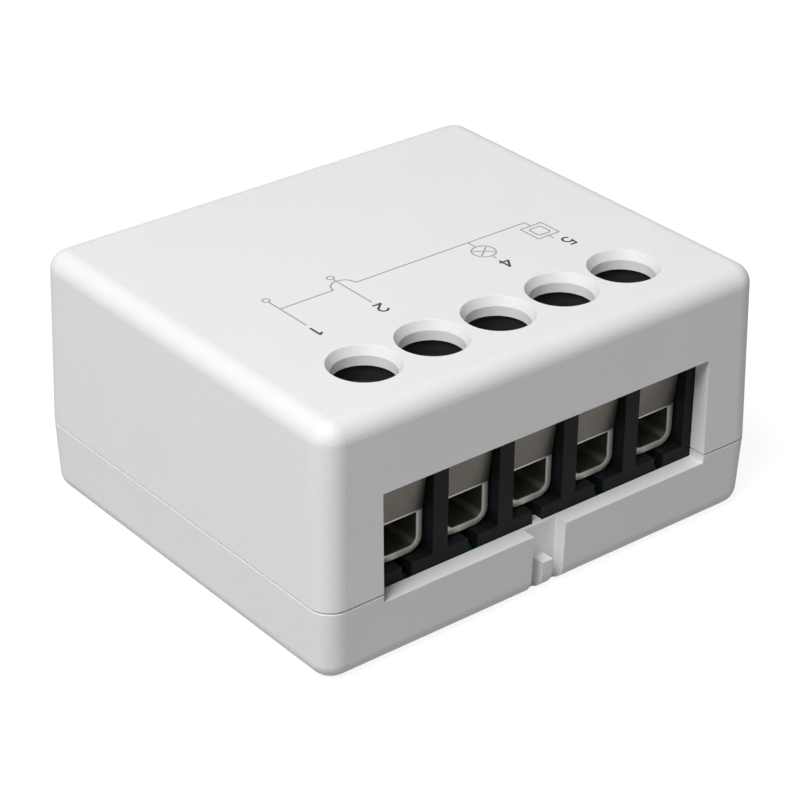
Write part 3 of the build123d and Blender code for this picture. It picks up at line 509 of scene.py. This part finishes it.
def sweptStrip(path, tangent, width, thickness, radius, closed=False):
    # Rounded rectangle carried along a path in one plane: its width lies across that plane, and
    # its thickness follows the path's normal, which is the tangent turned by a right angle. The
    # width may change along the path, and a tangent longer than 1 widens a mitre.
    normal = np.stack([tangent[:, 1], -tangent[:, 0]], -1)
    rings = []
    for place, side, full in zip(path, normal, np.broadcast_to(width, len(path))):
        section = roundedOutline(full / 2, thickness / 2, radius)
        rings.append(np.column_stack([section[:, 0], place + section[:, 1:] * side]))
    rings = np.array(rings)
    if closed:
        return np.concatenate([rings, rings[:1]])
    ends = [np.broadcast_to(ring.mean(0), (1,) + ring.shape) for ring in (rings[0], rings[-1])]
    return np.concatenate([ends[0], rings, ends[1]])


# The thread that screws and cages share: a groove whose depth, 0 to 1, falls and rises once in
# each pitch of height minus turned angle, which makes a right-hand helix. The two flanks would
# meet at the depth root, past the flat floor at 1, and slope is their fall over one pitch.
thread = {"pitch": 0.5, "root": 1.15, "slope": 3.2}


def threadGroove(z, angle):
    phase = np.mod(z / thread["pitch"] - angle / (2 * math.pi), 1)
    return np.clip(thread["root"] - np.abs(phase - 0.5) * thread["slope"], 0, 1)


# M3 x 0.5 screws with a cross recess. The recess is a height over the plan: each arm is as deep
# as its two drafted flanks and the slope from its end down to the middle allow. Its grid is a
# square patch with lines along the arms' edges and at moreLines between them. The head is a ring
# from that patch out to the rim, and down to the thread. Below the neck the groove deepens over
# runout, and the tip tapers to its end.
clampScrew = {"crest": 1.47, "threadDepth": 0.27, "headRadius": 2.2, "headHeight": 1.0,
              "crown": 0.16, "edge": 0.22, "seatEase": 0.08, "fillet": 0.12, "neck": 0.2,
              "runoutFrom": 0.35, "runout": 0.5, "tip": 0.35, "tipTaper": 0.25, "end": 0.02,
              "armLength": 2.6, "armWidth": 0.62, "recessDepth": 0.95, "flankRun": 0.07,
              "endRun": 1.3, "patch": 1.36, "moreLines": (0.36, 0.55), "rimPoints": 5,
              "rowsPerPitch": 8}


def recessDepth(x, y):
    s = clampScrew
    depths = []
    for a, b in ((x, y), (y, x)):
        flank = (s["armWidth"] / 2 - np.abs(b)) / s["flankRun"] * s["recessDepth"]
        end = (s["armLength"] / 2 - np.abs(a)) / s["endRun"] * s["recessDepth"]
        depths.append(np.minimum(np.minimum(flank, end), s["recessDepth"]))
    return np.clip(np.maximum(*depths), 0, None)


def crownHeight(r):
    # the head's top is a shallow dome, one crown lower at the rim than at the middle
    return -clampScrew["crown"] * (r / clampScrew["headRadius"]) ** 2


def makeScrew(number):
    s = clampScrew
    low, high = (np.array(corner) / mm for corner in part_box("clamp_screw_%d" % number))
    middle = np.array([(low[0] + high[0]) / 2, (low[1] + high[1]) / 2, 0])
    top, bottom = high[2], low[2]
    half, arm = s["armWidth"] / 2, s["armLength"] / 2
    lines = np.array([0, half - s["flankRun"], half, *s["moreLines"], arm - s["endRun"] / 2, arm,
                      s["patch"]])
    lines = np.unique(np.round(np.concatenate([-lines, lines]), 6))
    x, y = np.meshgrid(lines, lines)
    patch = np.dstack([x, y, top + crownHeight(np.hypot(x, y)) - recessDepth(x, y)])
    edge = np.concatenate([patch[0, :-1], patch[:-1, -1], patch[-1, :0:-1], patch[:0:-1, 0]])
    angle = np.arctan2(edge[:, 1], edge[:, 0])

    # the head from the rim's round down to the seat, and the fillet under it
    turn, rim = np.linspace(0, math.pi / 2, s["rimPoints"]), s["edge"]
    rimTop, seat = crownHeight(s["headRadius"] - rim), top - s["headHeight"]
    radii = [*(s["headRadius"] - rim + rim * np.sin(turn)), s["headRadius"],
             s["headRadius"] - s["seatEase"], s["crest"] + s["fillet"], s["crest"]]
    heights = [*(top + rimTop - rim + rim * np.cos(turn)), seat + s["seatEase"], seat, seat,
               seat - s["fillet"]]
    radii, heights = np.array(radii)[:, None], np.array(heights)[:, None]
    head = np.dstack([radii * np.cos(angle), radii * np.sin(angle),
                      np.broadcast_to(heights, (len(heights), len(angle)))])

    start = seat - s["neck"]
    rows = int((start - bottom) / thread["pitch"] * s["rowsPerPitch"])
    z = np.linspace(start, bottom + s["end"], rows)[:, None]
    runout = np.clip((seat - s["runoutFrom"] - z) / s["runout"], 0, 1)
    taper = np.clip((bottom + s["tip"] - z) / (s["tip"] - s["end"]), 0, 1) * s["tipTaper"]
    radius = s["crest"] - s["threadDepth"] * threadGroove(z, angle) * runout - taper
    shank = np.dstack([radius * np.cos(angle), radius * np.sin(angle),
                       np.broadcast_to(z, radius.shape)])
    tip = np.broadcast_to([0, 0, bottom], (1, len(angle), 3))
    body = np.concatenate([edge[None], head, shank, tip])
    screw = gridPiece("clampScrew_%d" % number,
                      [(patch + middle, False, 0), (body + middle, True, 0)], [screwMetal])
    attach(screw, "screw_%d" % number)
    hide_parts("clamp_screw_%d" % number)


# Each cage is a strip swept round a U with round lower corners, a threaded block across its
# ends, and the apron that hangs in front of the bar over an upright rim. The block is one closed
# surface, from the threaded hole out over its top, down its sides and back below. The strip's
# sheared edges are brighter than the rolled faces, and the apron's rim takes the same brighter
# finish, partly as a painted highlight along the apron's lower edge. Its inside keeps more of
# the passivation, with a painted highlight, a lighter colour along the middle of each bend.
# Where two of these surfaces lie in one plane, one stands back or out by a hair: legInset, tuck,
# wedgeProud and footProud.
risingCage = {"sheet": 0.6, "corner": 1.2, "edge": 0.05, "overlap": 0.1, "legInset": 0.1,
              "nut": 1.2, "blockCorner": 0.25, "runPoints": 12, "easeShare": 0.7, "hole": 1.3,
              "mouth": 0.17, "threadDepth": 0.22, "threadEnd": 0.06, "threadRows": 20,
              "screwRow": -11.1, "apronBottom": 9.41, "apronLean": 0.38, "apronRim": 0.14,
              "apronEdge": 0.04, "apronSink": 0.02, "tuck": 0.012, "wedgeProud": 0.005,
              "footProud": 0.012, "highlightWidth": 26}
stripColumns = {"inner": 14, "sheared": [9, 19]}  # quads of a swept strip's section
cageFinish = {"rolled": 0, "sheared": 1, "filmed": 2}  # places in the cage's list of materials


def levelRing(points, z):
    # one row of a grid, its points all at the same height
    return np.column_stack([points, np.full(len(points), z)])[None]


def threadedBlock(half, depth, bottom, top, offset):
    # The outline's straight runs are divided, and its points go round by angle about the hole,
    # which lies offset in front of the middle, so that outline and hole have the same columns.
    s = risingCage
    corners = roundedOutline(half, depth / 2, s["blockCorner"], steps=5)
    runs = [np.linspace(a, b, s["runPoints"], endpoint=False)[1:] for a, b in
            zip(corners, np.roll(corners, -1, 0)) if np.hypot(*(b - a)) > s["blockCorner"]]
    outline = np.vstack([corners, *runs])
    angle = np.arctan2(outline[:, 1] + offset, outline[:, 0])
    order = np.argsort(angle)
    outline, angle = outline[order], angle[order]
    z = np.linspace(bottom + s["threadEnd"], top - s["threadEnd"], s["threadRows"])[:, None]
    radius = s["hole"] + s["threadDepth"] * (1 - threadGroove(z, angle))
    hole = np.dstack([radius * np.cos(angle), radius * np.sin(angle) - offset,
                      np.broadcast_to(z, radius.shape)])
    circle = np.column_stack([np.cos(angle), np.sin(angle)])
    mouth = (s["hole"] + s["mouth"]) * circle - [0, offset]
    e = s["edge"]
    shrunk = outline * (1 - e / np.array([half, depth / 2]))
    eased, drop = shrunk + s["easeShare"] * (outline - shrunk), e * (1 - s["easeShare"])
    return np.concatenate([levelRing(mouth, bottom), hole, levelRing(mouth, top),
                           levelRing(shrunk, top), levelRing(eased, top - drop),
                           levelRing(outline, top - e), levelRing(outline, bottom + e),
                           levelRing(eased, bottom + drop), levelRing(shrunk, bottom),
                           levelRing(mouth, bottom)])


def makeCage(number):
    s = risingCage
    low, high = (np.array(corner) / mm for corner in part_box("clamp_cage_%d" % number))
    front, back, bottom, top = low[1] + s["apronLean"], high[1], low[2], high[2]
    half, depth = (high[0] - low[0]) / 2, back - front
    middleX, middleY = (low[0] + high[0]) / 2, (front + back) / 2

    # centre line of the U: down one side, round two corners and up the other
    side, floor, r = half - s["sheet"] / 2, bottom + s["sheet"] / 2, s["corner"] - s["sheet"] / 2
    turn = np.linspace(0, math.pi / 2, stripPoints["bend"])
    joint = s["apronBottom"] + s["overlap"]
    rise = np.linspace(joint, floor + r, stripPoints["straight"] + 1)[:-1]
    left = np.column_stack([np.full(len(rise), -side), rise])
    leftTurn = np.column_stack([-side + r - r * np.cos(turn), floor + r - r * np.sin(turn)])
    path = np.vstack([left, leftTurn])
    path = np.vstack([path, (path * [-1, 1])[::-1]])
    step = np.gradient(path, axis=0)
    tangent = step / np.hypot(step[:, 0], step[:, 1])[:, None]
    strip = sweptStrip(path, tangent, depth, s["sheet"], s["edge"])
    loop = np.dstack([middleX + strip[..., 1], middleY + strip[..., 0], strip[..., 2]])
    loopFinish = np.full((len(loop) - 1, loop.shape[1]), cageFinish["rolled"])
    loopFinish[:, stripColumns["inner"]] = cageFinish["filmed"]
    loopFinish[:, stripColumns["sheared"]] = cageFinish["sheared"]

    # the two legs above, behind the apron's rim, up to the block
    legs = []
    for way in (-1, 1):
        rise = np.array([[way * side, top - s["nut"] + s["edge"] / 2], [way * side, joint]])
        down = np.array([[0.0, -1.0]] * 2)
        leg = sweptStrip(rise, down, depth - s["legInset"], s["sheet"], s["edge"])
        legs.append(np.dstack([middleX + leg[..., 1], middleY + s["legInset"] / 2 + leg[..., 0],
                               leg[..., 2]]))
    block = threadedBlock(half, depth, top - s["nut"], top, middleY - s["screwRow"])
    block = block + [middleX, middleY, 0]

    # apron: a wedge section over an upright rim, both carried across the cage
    rim, inner, sink = s["apronBottom"] + s["apronRim"], front + s["sheet"], s["apronSink"]
    wedge = [(inner, rim - sink), (inner, top - sink), (front - s["apronLean"], top - sink),
             (front - s["wedgeProud"], rim - sink)]
    shape, normals = polygonOutline(wedge, s["apronEdge"] / 2)
    apron = roundedBar(shape, normals, half - s["tuck"], s["apronEdge"]) + [middleX, 0, 0]
    outer = front - s["footProud"]
    foot = [(inner, s["apronBottom"]), (inner, rim), (outer, rim), (outer, s["apronBottom"])]
    shape, normals = polygonOutline(foot, s["apronEdge"])
    foot = roundedBar(shape, normals, half - s["tuck"], s["apronEdge"]) + [middleX, 0, 0]
    # the rim takes the sheared finish: partly the sheet's cut edge, partly a painted highlight
    # along the apron's lower edge
    rolled, sheared = cageFinish["rolled"], cageFinish["sheared"]
    cage = gridPiece("risingCage_%d" % number, [
        (loop, True, loopFinish), (legs[0], True, rolled), (legs[1], True, rolled),
        (block, True, rolled), (apron, True, rolled), (foot, True, sheared)],
        [cageMetal, edgeMetal, insideMetal])

    # painted highlight: how much of the lighter colour goes in, a bell over the angle about the
    # bend's axis, highest half way round the bend
    spots = np.empty(len(cage.data.vertices) * 3)
    cage.data.vertices.foreach_get("co", spots)
    x, _, z = spots.reshape(-1, 3).T / mm
    angle = np.arctan2(floor + r - z, np.abs(x - middleX) - (side - r))
    bendHighlight = np.exp(-((angle - math.pi / 4) / math.radians(s["highlightWidth"])) ** 2)
    cage.data.attributes.new("bendHighlight", "FLOAT", "POINT").data.foreach_set("value", bendHighlight)
    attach(cage, "cage_%d" % number)
    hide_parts("clamp_cage_%d" % number)


# A strip carried back along the cage, round one bend and down, where its width steps in to the
# solder pin. Its lower edges are rounder, to clear the cage's corners when the cage is up.
contactBar = {"thickness": 0.8, "bend": 0.5, "pinWidth": 1.2, "shoulder": 6.25,
              "shoulderRun": 0.03, "straight": 0.3, "tip": 0.2, "tipShare": 0.8, "edge": 0.08,
              "lowerEdge": 0.38}


def makeBar(number):
    s = contactBar
    low, high = (np.array(corner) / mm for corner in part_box("contact_bar_%d" % number))
    t, r = s["thickness"], s["bend"]
    level, leg = high[2] - t / 2, high[1] - t / 2
    turn = np.linspace(0, math.pi / 2, stripPoints["bend"])
    run = np.linspace(low[1], leg - r, stripPoints["straight"] + 1)[:-1]
    run = np.column_stack([run, np.full(len(run), level)])
    bend = np.column_stack([leg - r + r * np.sin(turn), level - r + r * np.cos(turn)])
    drop = [level - r - s["straight"], s["shoulder"] + s["shoulderRun"], s["shoulder"],
            low[2] + s["tip"], low[2]]
    drop = np.column_stack([np.full(len(drop), leg), drop])
    path = np.vstack([run, bend, drop])
    full, pin = high[0] - low[0], s["pinWidth"]
    width = np.concatenate([np.full(len(path) - 3, full), [pin, pin, pin * s["tipShare"]]])
    tangent = np.vstack([np.tile([1.0, 0.0], (len(run), 1)),
                         np.column_stack([np.cos(turn), -np.sin(turn)]),
                         np.tile([0.0, -1.0], (len(drop), 1))])
    radii = (s["lowerEdge"], s["lowerEdge"], s["edge"], s["edge"])
    strip = sweptStrip(path, tangent, width, t, radii)
    strip = np.dstack([(low[0] + high[0]) / 2 + strip[..., 0], strip[..., 1], strip[..., 2]])
    bar = gridPiece("contactBar_%d" % number, [(strip, True, 0)], [tinMetal])
    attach(bar, "case")
    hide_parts("contact_bar_%d" % number)


# Enamelled wire wound in one visible layer: the radius follows the round back of each wire, and
# height over wire minus turned angle makes the helix. The wire is drawn coarser than the
# relay's real one, which would not show. Radii and wire in millimetres; bulge, just under 1,
# keeps the wires' sides from meeting in a knife edge.
windings = {"relay_winding": {"piece": "relayWinding", "inner": 1.947, "wire": 0.16},
            "choke_winding": {"piece": "chokeWinding", "inner": 1.3, "wire": 0.28}}
coilGrid = {"round": 72, "perWire": 6, "end": 0.01, "bulge": 0.98}


def makeWinding(node):
    s = windings[node]
    low, high = (np.array(corner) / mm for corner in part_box(node))
    middle, outer = (low + high) / 2, (high[0] - low[0]) / 2
    angle = np.linspace(0, 2 * math.pi, coilGrid["round"], endpoint=False)
    rows = int((high[2] - low[2]) / s["wire"] * coilGrid["perWire"])
    z = np.linspace(low[2] + coilGrid["end"], high[2] - coilGrid["end"], rows)[:, None]
    across = 2 * np.mod(z / s["wire"] - angle / (2 * math.pi), 1) - 1
    radius = outer - s["wire"] / 2 * (1 - np.sqrt(1 - coilGrid["bulge"] * across ** 2))
    turns = np.dstack([radius * np.cos(angle), radius * np.sin(angle),
                       np.broadcast_to(z, radius.shape)])
    circle = np.column_stack([np.cos(angle), np.sin(angle), np.zeros(len(angle))])
    foot, crest = circle * s["inner"] + [0, 0, low[2]], circle * s["inner"] + [0, 0, high[2]]
    rim = (outer - s["wire"] / 2) * circle
    rings = np.concatenate([foot[None], (rim + [0, 0, low[2]])[None], turns,
                            (rim + [0, 0, high[2]])[None], crest[None], foot[None]])
    coil = gridPiece(s["piece"], [(rings + [middle[0], middle[1], 0], True, 0)],
                     [wireMetal], sharpAngle=70)
    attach(coil, "case")
    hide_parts(node)


# A plain wiring sketch in thin lines, and the number of each wired pole by its hole. Each line
# is a flat section carried along its path, standing a few microns proud of the cover, each a
# hair higher than the one before, so that no two share a surface where they cross. All places
# are in millimetres in the plane of the cover; the strokes of a number are in its own height.
coverPrint = {"line": 0.13, "stroke": 0.19, "ink": 0.012, "edge": 0.003, "proud": 0.003,
              "hair": 0.0005, "digitHeight": 1.25,
              "digits": {"1": (-11.64, -5.5), "2": (-5.92, -5.5), "4": (5.5, -5.58),
                         "5": (11.5, -5.62)}}
# Two contacts, each a stem under a ring, stand on a rail that hops over the second. The rail
# feeds a lamp, which is a crossed circle, and ends in a load, which is a square in a square.
sketch = {"contacts": (-11.64, -5.95), "ringAt": 0.31, "ring": 0.27, "stemEnd": -4.43,
          "rail": -1.34, "hop": 1.0, "lamp": (5.43, -3.14), "lampRadius": 0.9,
          "lampCross": (0.61, 0.47), "lampEnd": -4.58, "load": (10.92, -3.05), "loadHalf": 1.0,
          "loadCorner": 0.04, "innerHalf": 0.58, "innerCorner": 0.2, "loadEnd": -4.62}


def circlePath(x, y, radius, start=0.0, end=360.0, steps=40):
    angle = np.radians(np.linspace(start, end, steps + 1))
    return np.column_stack([x + radius * np.cos(angle), y + radius * np.sin(angle)])


def squarePath(x, y, half, radius):
    outline = roundedOutline(half, half, radius, steps=5)
    return np.vstack([outline, outline[:1]]) + [x, y]


def sketchLines():
    s = sketch
    contacts, rail, (across, up) = s["contacts"], s["rail"], s["lampCross"]
    (lampX, lampY), radius, (loadX, loadY), half = (
        s["lamp"], s["lampRadius"], s["load"], s["loadHalf"])
    rings = [circlePath(x, s["ringAt"], s["ring"]) for x in contacts]
    stems = [np.array([(x, s["ringAt"] - s["ring"]), (x, s["stemEnd"])]) for x in contacts]
    hop = circlePath(contacts[1], rail, s["hop"], 180, 0, 20)
    feed = np.vstack([[(contacts[0], rail)], hop,
                      [(lampX, rail), (loadX, rail), (loadX, loadY + half)]])
    lamp = [np.array([(lampX, rail), (lampX, lampY + radius)]), circlePath(lampX, lampY, radius),
            np.array([(lampX, lampY - radius), (lampX, s["lampEnd"])])]
    cross = [np.array([(lampX - across, lampY + way * up), (lampX + across, lampY - way * up)])
             for way in (1, -1)]
    load = [squarePath(loadX, loadY, half, s["loadCorner"]),
            squarePath(loadX, loadY, s["innerHalf"], s["innerCorner"]),
            np.array([(loadX, loadY - half), (loadX, s["loadEnd"])])]
    return [*rings, *stems, feed, *lamp, *cross, *load]


def digitStrokes(digit):
    return {"1": [np.array([(0.04, 0.5), (0.04, -0.5)]), np.array([(-0.22, 0.25), (0.04, 0.45)])],
            "2": [np.vstack([circlePath(0, 0.17, 0.28, 165, -40, 16), [(-0.27, -0.42)]]),
                  np.array([(-0.34, -0.44), (0.3, -0.44)])],
            "4": [np.array([(0.12, 0.5), (0.12, -0.5)]), np.array([(0.11, 0.44), (-0.3, -0.2)]),
                  np.array([(-0.37, -0.22), (0.33, -0.22)])],
            "5": [np.vstack([[(0.25, 0.44), (-0.19, 0.44), (-0.23, 0.03)],
                             circlePath(-0.02, -0.18, 0.29, 130, -145, 20)])]}[digit]


def printPiece(name, paths, width, ink):
    # the direction at each point is the sum of the two that meet there, over half its own
    # length squared, which keeps the line as wide round a corner
    s = coverPrint
    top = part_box("top_cover")[1].z / mm + s["proud"] - s["ink"] / 2
    grids = []
    for path in paths:
        step = np.diff(path, axis=0)
        step = step / np.hypot(step[:, 0], step[:, 1])[:, None]
        closed = np.allclose(path[0], path[-1])
        line = path[:-1] if closed else path
        before = np.roll(step, 1, 0) if closed else np.vstack([step[:1], step])
        after = step if closed else np.vstack([step, step[-1:]])
        tangent = before + after
        tangent = 2 * tangent / (tangent ** 2).sum(1)[:, None]
        strip = sweptStrip(line, tangent, s["ink"], width, s["edge"], closed)
        height = top + len(grids) * s["hair"] + strip[..., 0]
        grids.append((np.dstack([strip[..., 1], strip[..., 2], height]), True, 0))
    piece = gridPiece(name, grids, [ink])
    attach(piece, "case")


def makePrint():
    s = coverPrint
    printPiece("wiringSketch", sketchLines(), s["line"], lineInk)
    for digit, place in s["digits"].items():
        # read from the back of the case, so turned half round
        strokes = [place - s["digitHeight"] * stroke for stroke in digitStrokes(digit)]
        printPiece("poleNumber_" + digit, strokes, s["stroke"], digitInk)


for number in range(1, 6):
    makeScrew(number)
    makeCage(number)
    makeBar(number)
for node in windings:
    makeWinding(node)
makePrint()
print("screws, cages, bars, windings and print made")

# The camera sees white paper all round, and reflections see a share of it. Soft light comes from
# the world, less of it from the floor, and the shape from one softbox above on the left. The
# floor lies a hair under the case, so that the two don't share a plane.
studio = {"background": "#FFFFFF", "mirroredShare": 0.55, "ambient": 0.18,
          "floorColour": "#A2A2A2", "floorFacing": 0.20, "floorGlow": 0.90, "floorHalf": 1.5,
          "floorBelow": 0.02}


def seenShare(tree):
    # how much of the white paper a ray sees: all from the camera, a share in reflections
    path = addNode(tree, "LightPath")
    direct = addNode(tree, "Math", {0: path.outputs["Is Camera Ray"],
                                    1: path.outputs["Is Transmission Ray"]}, operation="MAXIMUM")
    mirrored = addNode(tree, "Math", {0: path.outputs["Is Glossy Ray"],
                                      1: studio["mirroredShare"]}, operation="MULTIPLY")
    return addNode(tree, "Math", {0: direct.outputs["Value"], 1: mirrored.outputs["Value"]},
                   operation="MAXIMUM").outputs["Value"]


world = bpy.data.worlds.new("paleStudio")
bpy.context.scene.world = world
world.use_nodes = True
tree = world.node_tree
tree.nodes.clear()
paleLight = linear(studio["background"])
sky = addNode(tree, "Background", {"Color": paleLight, "Strength": studio["ambient"]})
backdrop = addNode(tree, "Background", {"Color": paleLight, "Strength": 1.0})
seen = addNode(tree, "MixShader", {0: seenShare(tree), 1: sky.outputs["Background"],
                                   2: backdrop.outputs["Background"]})
addNode(tree, "OutputWorld", {"Surface": seen.outputs["Shader"]})

half, below = studio["floorHalf"], -studio["floorBelow"] * mm
corners = [(-half, -half, below), (half, -half, below), (half, half, below), (-half, half, below)]
floorMesh = bpy.data.meshes.new("studioFloor")
floorMesh.from_pydata(corners, [], [(0, 1, 2, 3)])
floor = bpy.data.objects.new("studioFloor", floorMesh)
bpy.context.scene.collection.objects.link(floor)
paper = bpy.data.materials.new("white paper backdrop")
paper.use_nodes = True
tree = paper.node_tree
tree.nodes.clear()
bounce = addNode(tree, "BsdfDiffuse", {"Color": linear(studio["floorColour"])})
facing = addNode(tree, "BsdfDiffuse", {"Color": (studio["floorFacing"],) * 3 + (1.0,)})
glow = addNode(tree, "Emission", {"Strength": studio["floorGlow"]})
both = addNode(tree, "AddShader", {0: facing.outputs["BSDF"], 1: glow.outputs["Emission"]})
seen = addNode(tree, "MixShader", {0: seenShare(tree), 1: bounce.outputs["BSDF"],
                                   2: both.outputs["Shader"]})
addNode(tree, "OutputMaterial", {"Surface": seen.outputs["Shader"]})
floorMesh.materials.append(paper)

# each lamp: where it stands in metres, the side of its square face, and its power in watts
lamps = {"keySoftbox": {"place": (-0.310, -0.102, 0.504), "side": 0.30, "power": 3.47}}
for name, lamp in lamps.items():
    light = bpy.data.lights.new(name, "AREA")
    light.shape, light.size, light.energy = "SQUARE", lamp["side"], lamp["power"]
    holder = bpy.data.objects.new(name, light)
    aim = -Vector(lamp["place"])
    turned = aim.to_track_quat("-Z", "Y").to_matrix().to_4x4()
    holder.matrix_world = Matrix.Translation(lamp["place"]) @ turned
    bpy.context.scene.collection.objects.link(holder)
print("floor, world and lamps set")
